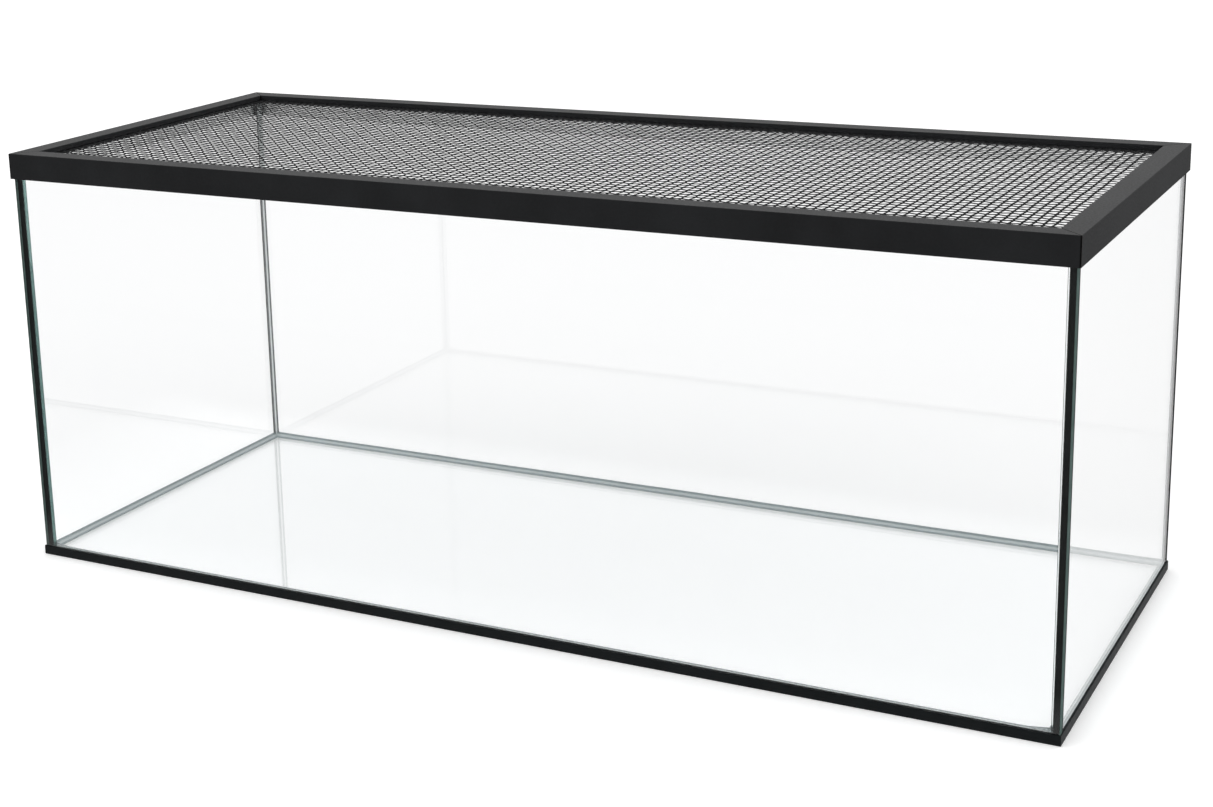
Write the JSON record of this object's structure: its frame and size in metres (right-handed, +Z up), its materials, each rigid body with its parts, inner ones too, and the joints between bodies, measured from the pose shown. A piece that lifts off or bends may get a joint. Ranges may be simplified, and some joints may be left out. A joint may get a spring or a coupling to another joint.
{
  "type": "terrarium",
  "caption": "Rectangular glass tank with silicone-bonded panes and a black lift-off lid frame holding a recessed mesh.",
  "frame": {"origin": "middle of the footprint, on the surface that the tank stands on", "axes": "+X to the right along the tank's long side, +Y from the front pane to the back pane, +Z up"},
  "size_m": [0.766, 0.309, 0.306],
  "materials": {
    "glass": "clear float glass, 5 mm, green at its cut edges",
    "black_silicone": "black silicone joint, satin",
    "clear_silicone": "clear silicone bead, slightly milky",
    "black_trim": "black edge strip, matt",
    "lid_frame": "fine satin black powder coat",
    "corner_key": "moulded black plastic, hidden",
    "mesh": "dull grey flattened wire",
    "black_spline": "black rubber retaining strip",
    "seat_strip": "soft silicone angle strip with a bright aluminium foil face"
  },
  "bodies": {
    "tank": {"bottom_pane": "glass", "front_pane": "glass", "right_pane": "glass", "back_pane": "glass", "left_pane": "glass", "corner_joint_front_left": "black_silicone", "corner_bead_front_left": "clear_silicone", "corner_joint_front_right": "black_silicone", "corner_bead_front_right": "clear_silicone", "corner_joint_back_right": "black_silicone", "corner_bead_back_right": "clear_silicone", "corner_joint_back_left": "black_silicone", "corner_bead_back_left": "clear_silicone", "floor_joint_front": "black_silicone", "floor_bead_front": "clear_silicone", "base_trim_front": "black_trim", "floor_joint_right": "black_silicone", "floor_bead_right": "clear_silicone", "base_trim_right": "black_trim", "floor_joint_back": "black_silicone", "floor_bead_back": "clear_silicone", "base_trim_back": "black_trim", "floor_joint_left": "black_silicone", "floor_bead_left": "clear_silicone", "base_trim_left": "black_trim"},
    "lid": {"lid_rail_front": "lid_frame", "lid_rail_right": "lid_frame", "lid_rail_back": "lid_frame", "lid_rail_left": "lid_frame", "lid_corner_key_front_left": "corner_key", "lid_corner_key_front_right": "corner_key", "lid_corner_key_back_right": "corner_key", "lid_corner_key_back_left": "corner_key", "mesh_panel": "mesh", "mesh_spline_front": "black_spline", "lid_seat_strip_front": "seat_strip", "mesh_spline_right": "black_spline", "lid_seat_strip_right": "seat_strip", "mesh_spline_back": "black_spline", "lid_seat_strip_back": "seat_strip", "mesh_spline_left": "black_spline", "lid_seat_strip_left": "seat_strip"}
  },
  "joints": [
    {"name": "lid_lift", "type": "slide", "parent": "tank", "child": "lid", "axis": [0, 0, 1], "range_m": [0, 0.15]}
  ]
}
